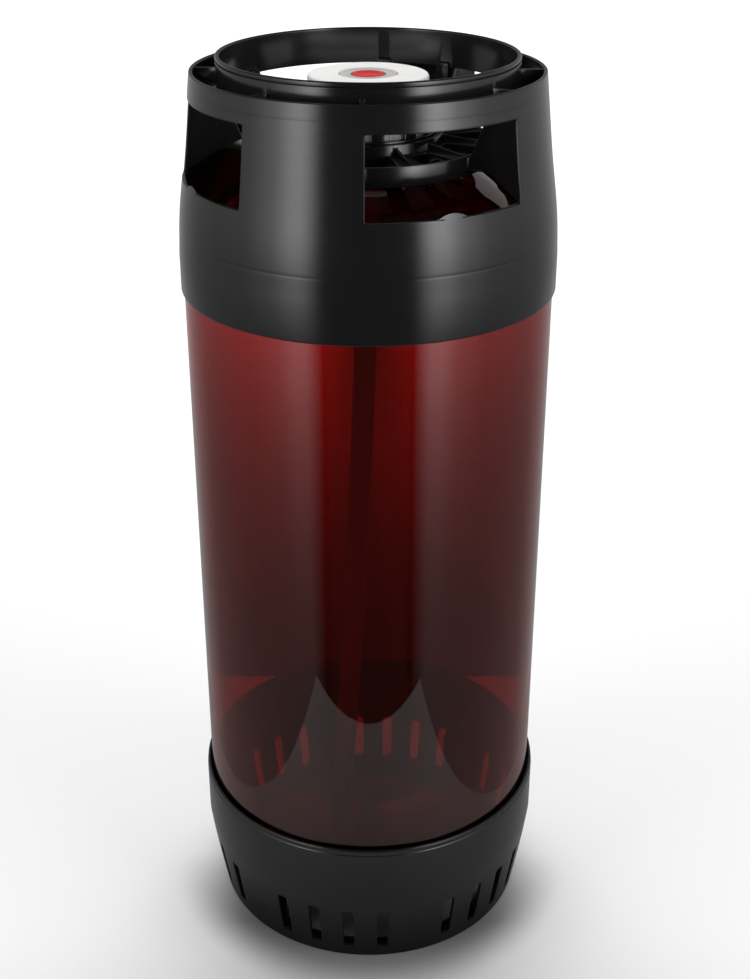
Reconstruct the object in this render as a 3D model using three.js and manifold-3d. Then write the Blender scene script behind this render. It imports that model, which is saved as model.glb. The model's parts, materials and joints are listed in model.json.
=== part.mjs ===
// A slim 20-litre one-way beer keg: a clear PET bottle between a slotted base cup and a
// handle ring, with a flat-topped closure that holds a spring-loaded valve and a dip tube.
//
// Millimetres, +Z up. The origin is the middle of the foot, on the floor. The four
// handholds face -Y, +X, +Y and -X. An azimuth is counted from -Y towards +X.
import * as THREE from 'three';
import { mergeVertices } from 'three/addons/utils/BufferGeometryUtils.js';
import Module from 'manifold-3d';

const wasm = await Module();
wasm.setup();

// ---------------------------------------------------------------- driving dimensions
const ROUND = 40; // facets round the large pieces
const SMALL_ROUND = 24; // facets round the valve pieces
const GAP = 0.3; // clearance between pieces that touch
const OVERLAP = 0.6; // how far joined features run into each other

// bottle
const BOTTLE_R = 116;
const BOTTLE_WALL = 0.9;
const DOME_Z = 100.5; // where the straight wall ends and the bottom dome begins
const DOME_DEPTH = 88;
const SHOULDER_Z = 466; // where the straight wall ends and the shoulder begins
const SHOULDER_RISE = 80;
const NECK_R = 30.3;
const NECK_BORE_R = 25.6;
const NECK_TOP_Z = 569;
const NECK_ROOT_Z = 543.6; // where the shoulder has turned up into the neck
const NECK_FLARE = 3.5;
const BEAD_R = 35; // carrying bead under the closure
const BEAD_Z = [545.5, 548.5];

// handle ring: outer shell
const SHELL_TOP_Z = 594;
const SHELL_TOP_R = 106.5;
const SHELL_WALL = 2.6;
const SHELL_CURVE = [[117.9, 484], [116.2, 511], [111.4, 547.5], [SHELL_TOP_R, SHELL_TOP_Z - 1]];
const SKIRT_R = 117.9;
const SKIRT_FOOT_Z = 461.7;
const SKIRT_BORE_R = BOTTLE_R + GAP;
const HANDHOLDS = 4;
const HANDHOLD_HALF_ANGLE = 25.6; // degrees either side of its middle
const HANDHOLD_Z = [531.5, 578.5];
const HANDHOLD_CORNER = 1.5;
const HANDHOLD_MID_R = 111.5; // the shell's radius half way up a handhold

// handle ring: stacking collar, webs, lugs and hub plate
const COLLAR_R = 90.8;
const COLLAR_WALL = 2.8;
const COLLAR_Z = [580.5, 602.6];
const WEB_THICKNESS = 2.4;
const WEB_FROM_HANDHOLD = 0.9; // degrees from the handhold's edge to the web's middle
const WEB_FOOT = [90, 544.5]; // where the web's lower edge turns down to the shell
const LUG_SIZE = [8, 3.2]; // across, and out from the collar's inner wall
const LUG_Z = [570, 584];
const LUG_FROM_WEB = 5; // degrees
const HUB_R = 75;
const HUB_BORE_R = 43.1;
const HUB_FLOOR_Z = [549.6, 551.6];
const HUB_BORE_FOOT_Z = 543.5;
const HUB_RIM_Z = [541, 552.5];
const HUB_CREST_Z = 557.6;
const HUB_WALL = 2.4;
const HUB_RIBS = 12;
const HUB_TURN = -4; // degrees from the front to the nearest rib
const RIB_DROP = { crest: 1.5, rim: 0.4 }; // how far a rib ends below the crest and the rim
const HUB_RIB_THICKNESS = 2.2;
const POCKET_R = [48, 70.2]; // the hub plate's wedge-shaped holes, near and far edge
const POCKET_HALF_WIDTH = [7.1, 10.6];

// neck clip
const CLIP_R = [37.1, 39.5];
const CLIP_Z = [542.6, 558.5];
const CLIP_LIP = 1.8;
const FINGERS = 12;
const FINGER_WIDTH = 9.2;
const FINGER_TOP_Z = 568;
const FINGER_HOOK = 0.9;

// base cup
const CUP_R = 119.5;
const CUP_WALL = 2.4;
const CUP_RIM_Z = 101;
const CREASE_Z = 62;
const FOOT_R = 110;
const FOOT_BORE_R = 95; // the stacking collar of the keg below goes in here
const FOOT_THICKNESS = 3;
const SLOT_GROUPS = 6;
const SLOTS_PER_GROUP = 4;
const SLOT_PITCH = 12; // degrees
const FIRST_GROUP = 22; // azimuth of the middle of one group, degrees
const SLOT_WIDTH = 7.7;
const SLOT_Z = [10.2, 45.4];
const SLOT_CORNER = 1.5;
const CUP_RIB_THICKNESS = 2.2;
const CUP_RIB_R = [97.5, 113]; // where the ribs carry the bottom dome
const CUP_RIB_TOP_Z = 80;
const CUP_RIB_OFFSET = 5; // degrees either side of the middle of a plain stretch

// closure
const CAP_R = 36.4;
const CAP_TOP_Z = 590.6;
const CAP_EDGE = 2.5;
const CAP_HOLE_R = 17.7;
const CAP_SHELF_Z = [573, 576.4];
const CAP_SKIRT_R = 36;
const CAP_SKIRT_FOOT_Z = 550;
const CAP_THREAD_BORE_R = 30.9;
const CAP_WAIST_R = 31;
const CAP_FLANGE_Z = 582.4;
const CAP_BORE_R = 26.4;
const GASKET_R = [25.9, 30];
const GASKET_THICKNESS = 1;

// valve
const BODY_R = 24.9;
const BODY_BORE_R = 22.4;
const BODY_FOOT_Z = 538;
const BODY_FOOT_BORE_R = 20.6;
const BODY_FLANGE_R = 30.4;
const BODY_LIP_R = 17.9;
const BODY_LIP_Z = [583.2, 586.3];
const RING_R = 17.3;
const RING_SHOULDER_R = 20.8;
const RING_BORE_R = 10.6;
const RING_Z = [579.5, 590.2];
const PISTON_R = [14.4, 16.8];
const PISTON_Z = [538.5, 579.2];
const PISTON_FLANGE = 3.4;
const PISTON_FOOT_R = 12.5;
const SEAT_R = [17.2, 22.1];
const SEAT_Z = [540, 543.3];
const SEAT_PORTS = 8;
const GAS_SPRING = { coilR: 19.3, wireR: 0.9, turns: 5 };
const BUTTON_R = 10.2;
const BUTTON_Z = [584, 590.5];
const BUTTON_SOCKET = { r: 4.3, depth: 3.2 };
const PLUNGER_FLANGE_R = 13.6;
const PLUNGER_FLANGE_Z = [574.5, 577.4];
const PLUNGER_FOOT_Z = 552;
const PLUNGER_NECK_R = 8.4;
const PLUNGER_POST_R = 4;
const PLUNGER_STEM_R = 3;
const FIN_REACH = 6.8;
const O_RING = { r: 11.9, section: 0.8 };
const CORE_SPRING = { coilR: 10, wireR: 0.6, turns: 6 };
const ADAPTER_R = 14.1;
const ADAPTER_Z = [541, 544.8];
const SPIGOT_R = [3.8, 5.2];
const SPIGOT_FOOT_Z = 508;
const TUBE_R = [6, 7.5];
const TUBE_Z = [26, 537.8];
const TUBE_BEND_Z = 515; // below this the tube leaves the keg's axis in a slow curve
const TUBE_LEAN = 23; // how far from the axis its open end hangs
const TUBE_LEAN_AZIMUTH = 245;

// ---------------------------------------------------------------- materials
function plastic(color, roughness, opacity = 1) {
  return new THREE.MeshStandardMaterial({
    color,
    roughness,
    metalness: 0,
    opacity,
    transparent: opacity < 1,
  });
}

const MATERIALS = {
  amberPet: plastic(0x7a1c0c, 0.08, 0.55),
  blackPlastic: plastic(0x1b1c1d, 0.42),
  whitePlastic: plastic(0xf2f1ec, 0.4),
  naturalPlastic: plastic(0xdad8cf, 0.45),
  greyRubber: plastic(0x9a9c9e, 0.7),
  blackRubber: plastic(0x151515, 0.8),
  redPlastic: plastic(0xc41e22, 0.35),
  springSteel: new THREE.MeshStandardMaterial({ color: 0xb9bcc0, roughness: 0.3, metalness: 1 }),
};

// ---------------------------------------------------------------- small tools
const radians = THREE.MathUtils.degToRad;

// Shared corners become one vertex, and triangles that shrink to nothing are dropped.
function weld(geometry) {
  const bare = geometry.clone();
  bare.deleteAttribute('normal');
  bare.deleteAttribute('uv');
  const merged = mergeVertices(bare, 1e-4);
  const old = merged.index.array;
  const kept = [];
  for (let i = 0; i < old.length; i += 3) {
    const [a, b, c] = [old[i], old[i + 1], old[i + 2]];
    if (a !== b && b !== c && c !== a) kept.push(a, b, c);
  }
  merged.setIndex(kept);
  return merged;
}

function toSolid(geometry) {
  const welded = weld(geometry);
  const vertProperties = new Float32Array(welded.attributes.position.array);
  const triVerts = new Uint32Array(welded.index.array);
  return new wasm.Manifold(new wasm.Mesh({ numProp: 3, vertProperties, triVerts }));
}

function toGeometry(solid) {
  const { vertProperties, triVerts } = solid.getMesh();
  const geometry = new THREE.BufferGeometry();
  geometry.setAttribute('position', new THREE.BufferAttribute(vertProperties, 3));
  geometry.setIndex(new THREE.BufferAttribute(triVerts, 1));
  geometry.computeVertexNormals();
  return geometry;
}

// A ring or a disc from a closed [radius, height] outline, turned about Z.
function revolve(outline, facets = ROUND) {
  const points = outline.map(([r, z]) => new THREE.Vector2(r, z));
  if (THREE.ShapeUtils.isClockWise(points)) points.reverse();
  points.push(points[0].clone());
  return new THREE.LatheGeometry(points, facets).rotateX(Math.PI / 2);
}

// An upright plate that stands on a radius: its outline is [radius, height].
function radialPlate(outline, thickness, azimuth) {
  const shape = new THREE.Shape(outline.map(([r, z]) => new THREE.Vector2(r, z)));
  const geometry = new THREE.ExtrudeGeometry(shape, { depth: thickness, bevelEnabled: false });
  geometry.rotateX(Math.PI / 2).translate(0, thickness / 2, 0);
  return geometry.rotateZ(radians(azimuth - 90));
}

function roundedRectangle(width, low, high, corner) {
  const shape = new THREE.Shape();
  const x = width / 2;
  shape.absarc(x - corner, low + corner, corner, -Math.PI / 2, 0);
  shape.absarc(x - corner, high - corner, corner, 0, Math.PI / 2);
  shape.absarc(-x + corner, high - corner, corner, Math.PI / 2, Math.PI);
  shape.absarc(-x + corner, low + corner, corner, Math.PI, 1.5 * Math.PI);
  shape.closePath();
  return shape;
}

// A prism that runs outwards through a wall, for cutting an opening at an azimuth.
function wallCutter(shape, nearR, farR, azimuth) {
  const options = { depth: farR - nearR, bevelEnabled: false, curveSegments: 1 };
  const geometry = new THREE.ExtrudeGeometry(shape, options);
  geometry.rotateX(Math.PI / 2).translate(0, -nearR, 0);
  return geometry.rotateZ(radians(azimuth));
}

// An upright prism over a plan outline, for floors, fingers and lugs.
function column(plan, low, high, azimuth) {
  const shape = new THREE.Shape(plan.map(([x, y]) => new THREE.Vector2(x, y)));
  const geometry = new THREE.ExtrudeGeometry(shape, { depth: high - low, bevelEnabled: false });
  return geometry.translate(0, 0, low).rotateZ(radians(azimuth));
}

function ellipsePoints(centreZ, a, b, fromAngle, toAngle, steps) {
  const curve = new THREE.EllipseCurve(0, centreZ, a, b, fromAngle, toAngle, toAngle < fromAngle);
  return curve.getPoints(steps).map((p) => [p.x, p.y]);
}

function curvePoints(curve, steps) {
  return curve.getPoints(steps).map((p) => [p.x, p.y]);
}

const each = (count, step, first = 0) => Array.from({ length: count }, (_, i) => first + i * step);

function addAll(solid, geometries) {
  return geometries.reduce((sum, geometry) => sum.add(toSolid(geometry)), solid);
}

function cutAll(solid, geometries) {
  return geometries.reduce((rest, geometry) => rest.subtract(toSolid(geometry)), solid);
}

// ---------------------------------------------------------------- bottle
function bottle() {
  const innerR = BOTTLE_R - BOTTLE_WALL;
  const innerDepth = DOME_DEPTH - BOTTLE_WALL;
  const innerRise = SHOULDER_RISE - BOTTLE_WALL;
  const neckRoot = Math.acos((NECK_R + NECK_FLARE) / BOTTLE_R);
  const boreRoot = Math.acos(NECK_BORE_R / innerR);
  const outside = [
    ...ellipsePoints(DOME_Z, BOTTLE_R, DOME_DEPTH, -Math.PI / 2, 0, 6),
    ...ellipsePoints(SHOULDER_Z, BOTTLE_R, SHOULDER_RISE, 0, neckRoot, 6),
    [NECK_R, NECK_ROOT_Z],
    [NECK_R, BEAD_Z[0]],
    [BEAD_R, BEAD_Z[0] + 0.8],
    [BEAD_R, BEAD_Z[1] - 0.4],
    [NECK_R, BEAD_Z[1]],
    [NECK_R, NECK_TOP_Z],
  ];
  const inside = [
    [NECK_BORE_R, NECK_TOP_Z],
    ...ellipsePoints(SHOULDER_Z, innerR, innerRise, boreRoot, 0, 6),
    ...ellipsePoints(DOME_Z, innerR, innerDepth, 0, -Math.PI / 2, 6),
  ];
  return revolve([...outside, ...inside]);
}

// ---------------------------------------------------------------- handle ring
const shellOutline = new THREE.SplineCurve(SHELL_CURVE.map(([r, z]) => new THREE.Vector2(r, z)));

function shell() {
  const outside = curvePoints(shellOutline, 6);
  const inside = outside.slice(1).map(([r, z]) => [r - SHELL_WALL, z]).reverse();
  return revolve([
    [SKIRT_R - 0.6, SKIRT_FOOT_Z],
    [SKIRT_R, SKIRT_FOOT_Z + 0.8],
    ...outside,
    [SHELL_TOP_R - 0.9, SHELL_TOP_Z],
    [SHELL_TOP_R - SHELL_WALL + 0.9, SHELL_TOP_Z],
    ...inside,
    [SKIRT_BORE_R, 480],
    [SKIRT_BORE_R, SKIRT_FOOT_Z],
  ]);
}

function collar() {
  const [low, high] = COLLAR_Z;
  const innerR = COLLAR_R - COLLAR_WALL;
  return revolve([
    [COLLAR_R, low],
    [COLLAR_R, high - 1.4],
    [COLLAR_R - 0.8, high],
    [innerR + 0.8, high],
    [innerR, high - 1.4],
    [innerR, low],
  ]);
}

function hubPlate() {
  const [floorLow, floorHigh] = HUB_FLOOR_Z;
  const [rimLow, rimHigh] = HUB_RIM_Z;
  return revolve([
    [HUB_R, rimLow],
    [HUB_R, rimHigh],
    [HUB_R - HUB_WALL, rimHigh],
    [HUB_R - HUB_WALL, floorHigh],
    [HUB_BORE_R + HUB_WALL, floorHigh],
    [HUB_BORE_R + HUB_WALL, HUB_CREST_Z],
    [HUB_BORE_R, HUB_CREST_Z],
    [HUB_BORE_R, HUB_BORE_FOOT_Z],
    [HUB_BORE_R + HUB_WALL, HUB_BORE_FOOT_Z],
    [HUB_BORE_R + HUB_WALL, floorLow],
    [HUB_R - HUB_WALL, floorLow],
    [HUB_R - HUB_WALL, rimLow],
  ]);
}

function hubRib(azimuth) {
  const outline = [
    [HUB_BORE_R + OVERLAP, HUB_FLOOR_Z[0] + OVERLAP],
    [HUB_R - OVERLAP, HUB_FLOOR_Z[0] + OVERLAP],
    [HUB_R - OVERLAP, HUB_RIM_Z[1] - RIB_DROP.rim],
    [HUB_BORE_R + OVERLAP, HUB_CREST_Z - RIB_DROP.crest],
  ];
  return radialPlate(outline, HUB_RIB_THICKNESS, azimuth);
}

function hubPocket(azimuth) {
  const [nearR, farR] = POCKET_R;
  const [nearHalf, farHalf] = POCKET_HALF_WIDTH;
  const plan = [[-nearHalf, -nearR], [-farHalf, -farR], [farHalf, -farR], [nearHalf, -nearR]];
  return column(plan, HUB_FLOOR_Z[0] - 2, HUB_FLOOR_Z[1] + 2, azimuth);
}

// One web joins the hub, the collar and the shell beside a handhold.
function web(azimuth) {
  const intoShell = curvePoints(shellOutline, 6)
    .filter(([, z]) => z > HANDHOLD_Z[0] - 4)
    .map(([r, z]) => [r - SHELL_WALL / 2, Math.min(z, SHELL_TOP_Z - 0.8)]);
  const outline = [
    [HUB_R - OVERLAP, HUB_RIM_Z[0] + 3],
    WEB_FOOT,
    ...intoShell,
    [COLLAR_R - 1, SHELL_TOP_Z - 0.8],
    [COLLAR_R - 1, COLLAR_Z[0] + 1],
    [HUB_R + 1.5, HUB_RIM_Z[1] - 1],
    [HUB_R - OVERLAP, HUB_RIM_Z[1] - 1],
  ];
  return radialPlate(outline, WEB_THICKNESS, azimuth);
}

function lug(azimuth) {
  const [across, out] = LUG_SIZE;
  const wallR = COLLAR_R - COLLAR_WALL + OVERLAP;
  const x = across / 2;
  const plan = [[-x, -wallR + OVERLAP + out], [-x, -wallR], [x, -wallR], [x, -wallR + OVERLAP + out]];
  return column(plan, LUG_Z[0], LUG_Z[1], azimuth);
}

function handhold(azimuth) {
  const width = 2 * HANDHOLD_MID_R * Math.sin(radians(HANDHOLD_HALF_ANGLE));
  const [low, high] = HANDHOLD_Z;
  return wallCutter(roundedRectangle(width, low, high, HANDHOLD_CORNER), 99, 125, azimuth);
}

function handleRing() {
  const handholds = each(HANDHOLDS, 360 / HANDHOLDS);
  const webOffset = HANDHOLD_HALF_ANGLE + WEB_FROM_HANDHOLD;
  const webs = handholds.flatMap((a) => [a - webOffset, a + webOffset]);
  const lugOffset = webOffset + LUG_FROM_WEB;
  const lugs = handholds.flatMap((a) => [a - lugOffset, a + lugOffset]);
  const ribs = each(HUB_RIBS, 360 / HUB_RIBS, HUB_TURN);
  const pockets = each(HUB_RIBS, 360 / HUB_RIBS, HUB_TURN + 180 / HUB_RIBS);
  const pierced = cutAll(toSolid(shell()), handholds.map(handhold));
  const hub = cutAll(addAll(toSolid(hubPlate()), ribs.map(hubRib)), pockets.map(hubPocket));
  const joined = pierced.add(toSolid(collar())).add(hub);
  return toGeometry(addAll(joined, [...webs.map(web), ...lugs.map(lug)]));
}

// ---------------------------------------------------------------- neck clip
function finger(azimuth) {
  const [innerR, outerR] = CLIP_R;
  const outline = [
    [innerR, CLIP_Z[1] - 2],
    [outerR, CLIP_Z[1] - 2],
    [outerR - 0.4, FINGER_TOP_Z - 3],
    [outerR + FINGER_HOOK, FINGER_TOP_Z - 1.6],
    [outerR - 0.4, FINGER_TOP_Z],
    [innerR, FINGER_TOP_Z],
  ];
  return radialPlate(outline, FINGER_WIDTH, azimuth);
}

function neckClip() {
  const ring = revolve([
    [CLIP_R[0], CLIP_Z[0]],
    [CLIP_R[1], CLIP_Z[0]],
    [CLIP_R[1], CLIP_Z[1] - 3.4],
    [CLIP_R[1] + CLIP_LIP, CLIP_Z[1] - 2.2],
    [CLIP_R[1] + CLIP_LIP, CLIP_Z[1]],
    [CLIP_R[0], CLIP_Z[1]],
  ]);
  const fingers = each(FINGERS, 360 / FINGERS, 180 / FINGERS).map(finger);
  const [below, above] = [CLIP_Z[0] - 1, FINGER_TOP_Z + 1];
  const bore = revolve([[0, below], [CLIP_R[0], below], [CLIP_R[0], above], [0, above]]);
  return toGeometry(addAll(toSolid(ring), fingers).subtract(toSolid(bore)));
}

// ---------------------------------------------------------------- base cup
const cupCone = new THREE.QuadraticBezierCurve(
  new THREE.Vector2(FOOT_R, 1),
  new THREE.Vector2(117.5, 43),
  new THREE.Vector2(CUP_R - 0.2, CREASE_Z - 1),
);

function cupWall() {
  const cone = curvePoints(cupCone, 3);
  const inside = cone.slice(1).map(([r, z]) => [r - CUP_WALL, z]).reverse();
  return revolve([
    [FOOT_BORE_R, 0],
    [FOOT_R - 1, 0],
    ...cone,
    [CUP_R, CREASE_Z],
    [CUP_R, CUP_RIM_Z - 1],
    [CUP_R - 1, CUP_RIM_Z],
    [CUP_R - CUP_WALL, CUP_RIM_Z],
    ...inside,
    [FOOT_R - CUP_WALL, FOOT_THICKNESS],
    [FOOT_BORE_R, FOOT_THICKNESS],
  ]);
}

// A rib between the cup's wall and the bottom dome, which rests on all of them.
function cupRib(azimuth) {
  const wall = curvePoints(cupCone, 3).slice(1).map(([r, z]) => [r - CUP_WALL / 2, z]);
  const [nearR, farR] = CUP_RIB_R;
  const seatAngle = Math.acos(farR / (BOTTLE_R + GAP));
  const footAngle = Math.acos(nearR / (BOTTLE_R + GAP));
  const dome = ellipsePoints(DOME_Z, BOTTLE_R + GAP, DOME_DEPTH + GAP, -seatAngle, -footAngle, 5);
  const outline = [
    [nearR, FOOT_THICKNESS - OVERLAP],
    [FOOT_R - CUP_WALL, FOOT_THICKNESS - OVERLAP],
    ...wall,
    [CUP_R - CUP_WALL / 2, CUP_RIB_TOP_Z],
    ...dome,
  ];
  return radialPlate(outline, CUP_RIB_THICKNESS, azimuth);
}

function slot(azimuth) {
  return wallCutter(roundedRectangle(SLOT_WIDTH, ...SLOT_Z, SLOT_CORNER), 100, 125, azimuth);
}

function baseCup() {
  const groupStep = 360 / SLOT_GROUPS;
  const groups = each(SLOT_GROUPS, groupStep, FIRST_GROUP);
  const firstSlot = (-(SLOTS_PER_GROUP - 1) * SLOT_PITCH) / 2;
  const slots = groups.flatMap((g) => each(SLOTS_PER_GROUP, SLOT_PITCH, g + firstSlot));
  const plain = groups.map((g) => g + groupStep / 2);
  const ribs = plain.flatMap((p) => [p - CUP_RIB_OFFSET, p + CUP_RIB_OFFSET]);
  const ribbed = addAll(toSolid(cupWall()), ribs.map(cupRib));
  return toGeometry(cutAll(ribbed, slots.map(slot)));
}

// ---------------------------------------------------------------- closure
function closureCap() {
  return revolve([
    [CAP_THREAD_BORE_R, CAP_SKIRT_FOOT_Z],
    [CAP_SKIRT_R, CAP_SKIRT_FOOT_Z],
    [CAP_SKIRT_R, CAP_SHELF_Z[1] - 1],
    [CAP_SKIRT_R - 1, CAP_SHELF_Z[1]],
    [CAP_WAIST_R, CAP_SHELF_Z[1]],
    [CAP_WAIST_R, CAP_FLANGE_Z - 1],
    [CAP_WAIST_R + 1, CAP_FLANGE_Z],
    [CAP_R, CAP_FLANGE_Z],
    [CAP_R, CAP_TOP_Z - CAP_EDGE],
    [CAP_R - 0.3 * CAP_EDGE, CAP_TOP_Z - 0.3 * CAP_EDGE],
    [CAP_R - CAP_EDGE, CAP_TOP_Z],
    [CAP_HOLE_R, CAP_TOP_Z],
    [CAP_HOLE_R, BODY_LIP_Z[1] + GAP],
    [CAP_BORE_R, BODY_LIP_Z[1] + GAP],
    [CAP_BORE_R, CAP_SHELF_Z[0]],
    [CAP_THREAD_BORE_R, CAP_SHELF_Z[0]],
  ]);
}

function neckGasket() {
  const [innerR, outerR] = GASKET_R;
  const low = NECK_TOP_Z + GAP;
  const high = low + GASKET_THICKNESS;
  return revolve([[innerR, low], [outerR, low], [outerR, high], [innerR, high]], SMALL_ROUND);
}

// ---------------------------------------------------------------- valve housing
function valveBody() {
  const flangeLow = NECK_TOP_Z + GASKET_THICKNESS + 2 * GAP;
  const flangeHigh = CAP_SHELF_Z[0] - GAP;
  return revolve([
    [BODY_FOOT_BORE_R, BODY_FOOT_Z],
    [BODY_R, BODY_FOOT_Z],
    [BODY_R, flangeLow],
    [BODY_FLANGE_R, flangeLow],
    [BODY_FLANGE_R, flangeHigh],
    [CAP_BORE_R - GAP, flangeHigh],
    [CAP_BORE_R - GAP, BODY_LIP_Z[1]],
    [BODY_LIP_R, BODY_LIP_Z[1]],
    [BODY_LIP_R, BODY_LIP_Z[0]],
    [BODY_BORE_R, BODY_LIP_Z[0]],
    [BODY_BORE_R, SEAT_Z[0] - GAP],
    [BODY_FOOT_BORE_R, SEAT_Z[0] - GAP],
  ], SMALL_ROUND);
}

function springSeat() {
  const [innerR, outerR] = SEAT_R;
  const [low, high] = SEAT_Z;
  const ring = revolve([[innerR, low], [outerR, low], [outerR, high], [innerR, high]], SMALL_ROUND);
  const [x, near, far] = [2, -outerR + 1.7, -outerR - 1];
  const notch = [[-x, far], [x, far], [x, near], [-x, near]];
  const ports = each(SEAT_PORTS, 360 / SEAT_PORTS).map((a) => column(notch, low - 1, high + 1, a));
  return toGeometry(cutAll(toSolid(ring), ports));
}

// A coil spring on the Z axis with its wire's middle line from low to high.
function coilSpring({ coilR, wireR, turns }, low, high) {
  class Helix extends THREE.Curve {
    getPoint(t, target = new THREE.Vector3()) {
      const angle = 2 * Math.PI * turns * t;
      return target.set(coilR * Math.cos(angle), coilR * Math.sin(angle), low + (high - low) * t);
    }
  }
  const section = new THREE.Shape();
  section.absarc(0, 0, wireR, 0, 2 * Math.PI);
  return new THREE.ExtrudeGeometry(section, {
    steps: 9 * turns,
    curveSegments: 3,
    bevelEnabled: false,
    extrudePath: new Helix(),
  });
}

function gasSpring() {
  const low = SEAT_Z[1] + GAP + GAS_SPRING.wireR;
  const high = PISTON_Z[1] - PISTON_FLANGE - GAP - GAS_SPRING.wireR;
  return coilSpring(GAS_SPRING, low, high);
}

// ---------------------------------------------------------------- gas valve
function gasSealRing() {
  const [low, high] = RING_Z;
  return revolve([
    [RING_BORE_R, low],
    [RING_SHOULDER_R, low],
    [RING_SHOULDER_R, BODY_LIP_Z[0] - GAP],
    [RING_R, BODY_LIP_Z[0] - GAP],
    [RING_R, high - 0.4],
    [RING_R - 0.4, high],
    [RING_BORE_R + 0.5, high],
    [RING_BORE_R, high - 0.5],
  ], SMALL_ROUND);
}

function gasPiston() {
  const [low, high] = PISTON_Z;
  const [innerR, outerR] = PISTON_R;
  return revolve([
    [PISTON_FOOT_R, low],
    [outerR, low],
    [outerR, high - PISTON_FLANGE],
    [RING_SHOULDER_R, high - PISTON_FLANGE],
    [RING_SHOULDER_R, high],
    [innerR, high],
    [innerR, ADAPTER_Z[0] - GAP],
    [PISTON_FOOT_R, ADAPTER_Z[0] - GAP],
  ], SMALL_ROUND);
}

function dipTubeAdapter() {
  const [low, high] = ADAPTER_Z;
  const [boreR, outerR] = SPIGOT_R;
  return revolve([
    [boreR, SPIGOT_FOOT_Z],
    [outerR - 0.6, SPIGOT_FOOT_Z],
    [outerR, SPIGOT_FOOT_Z + 3],
    [outerR, low],
    [ADAPTER_R, low],
    [ADAPTER_R, high],
    [boreR, high],
  ], SMALL_ROUND);
}

// The tube starts straight below the adapter and hangs a little to one side lower down.
function dipTube() {
  const [innerR, outerR] = TUBE_R;
  const [low, high] = TUBE_Z;
  const azimuth = radians(TUBE_LEAN_AZIMUTH);
  class TubePath extends THREE.Curve {
    getPoint(t, target = new THREE.Vector3()) {
      const z = high + (low - high) * t;
      const below = Math.max(0, TUBE_BEND_Z - z) / (TUBE_BEND_Z - low);
      const out = TUBE_LEAN * below ** 1.5;
      return target.set(out * Math.sin(azimuth), -out * Math.cos(azimuth), z);
    }
  }
  const section = new THREE.Shape();
  section.absarc(0, 0, outerR, 0, 2 * Math.PI);
  const bore = new THREE.Path();
  bore.absarc(0, 0, innerR, 0, 2 * Math.PI, true);
  section.holes.push(bore);
  return new THREE.ExtrudeGeometry(section, {
    steps: 18,
    curveSegments: 8,
    bevelEnabled: false,
    extrudePath: new TubePath(),
  });
}

// ---------------------------------------------------------------- core valve
function coreButton() {
  const [low, high] = BUTTON_Z;
  return revolve([
    [BUTTON_SOCKET.r, low],
    [BUTTON_R, low],
    [BUTTON_R, high - 0.7],
    [BUTTON_R - 0.7, high],
    [BUTTON_R - 2.4, high],
    [BUTTON_R - 4.2, high - 0.9],
    [0, high - 1.1],
    [0, low + BUTTON_SOCKET.depth],
    [BUTTON_SOCKET.r, low + BUTTON_SOCKET.depth],
  ], SMALL_ROUND);
}

function corePlunger() {
  const [flangeLow, flangeHigh] = PLUNGER_FLANGE_Z;
  const neckTop = BUTTON_Z[0] - GAP;
  const postTop = BUTTON_Z[0] + BUTTON_SOCKET.depth - GAP;
  const stem = revolve([
    [0, PLUNGER_FOOT_Z],
    [PLUNGER_STEM_R, PLUNGER_FOOT_Z],
    [PLUNGER_STEM_R, flangeLow],
    [PLUNGER_FLANGE_R, flangeLow],
    [PLUNGER_FLANGE_R, flangeHigh],
    [PLUNGER_NECK_R, flangeHigh],
    [PLUNGER_NECK_R, neckTop],
    [PLUNGER_POST_R, neckTop],
    [PLUNGER_POST_R, postTop],
    [0, postTop],
  ], SMALL_ROUND);
  const inside = PLUNGER_STEM_R - 1;
  const fin = [
    [inside, PLUNGER_FOOT_Z + 1],
    [FIN_REACH, PLUNGER_FOOT_Z + 5],
    [FIN_REACH, flangeLow + OVERLAP],
    [inside, flangeLow + OVERLAP],
  ];
  const fins = each(4, 90, 45).map((a) => radialPlate(fin, 1.6, a));
  return toGeometry(addAll(toSolid(stem), fins));
}

function coreORing() {
  const ring = new THREE.TorusGeometry(O_RING.r, O_RING.section, 6, SMALL_ROUND);
  return ring.translate(0, 0, PLUNGER_FLANGE_Z[1] + GAP + O_RING.section);
}

function coreSpring() {
  const low = ADAPTER_Z[1] + GAP + CORE_SPRING.wireR;
  const high = PLUNGER_FLANGE_Z[0] - GAP - CORE_SPRING.wireR;
  return coilSpring(CORE_SPRING, low, high);
}

// ---------------------------------------------------------------- the keg
function piece(name, geometry, material) {
  const mesh = new THREE.Mesh(weld(geometry), material);
  mesh.name = name;
  return mesh;
}

const keg = new THREE.Group();
keg.add(
  piece('bottle', bottle(), MATERIALS.amberPet),
  piece('base_cup', baseCup(), MATERIALS.blackPlastic),
  piece('handle_ring', handleRing(), MATERIALS.blackPlastic),
  piece('neck_clip', neckClip(), MATERIALS.blackPlastic),
  piece('closure_cap', closureCap(), MATERIALS.whitePlastic),
  piece('neck_gasket', neckGasket(), MATERIALS.blackRubber),
  piece('valve_body', valveBody(), MATERIALS.naturalPlastic),
  piece('spring_seat', springSeat(), MATERIALS.naturalPlastic),
  piece('gas_spring', gasSpring(), MATERIALS.springSteel),
);

const gasValve = new THREE.Group();
gasValve.add(
  piece('gas_seal_ring', gasSealRing(), MATERIALS.greyRubber),
  piece('gas_piston', gasPiston(), MATERIALS.naturalPlastic),
  piece('dip_tube_adapter', dipTubeAdapter(), MATERIALS.naturalPlastic),
  piece('dip_tube', dipTube(), MATERIALS.naturalPlastic),
  piece('core_spring', coreSpring(), MATERIALS.springSteel),
);

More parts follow.
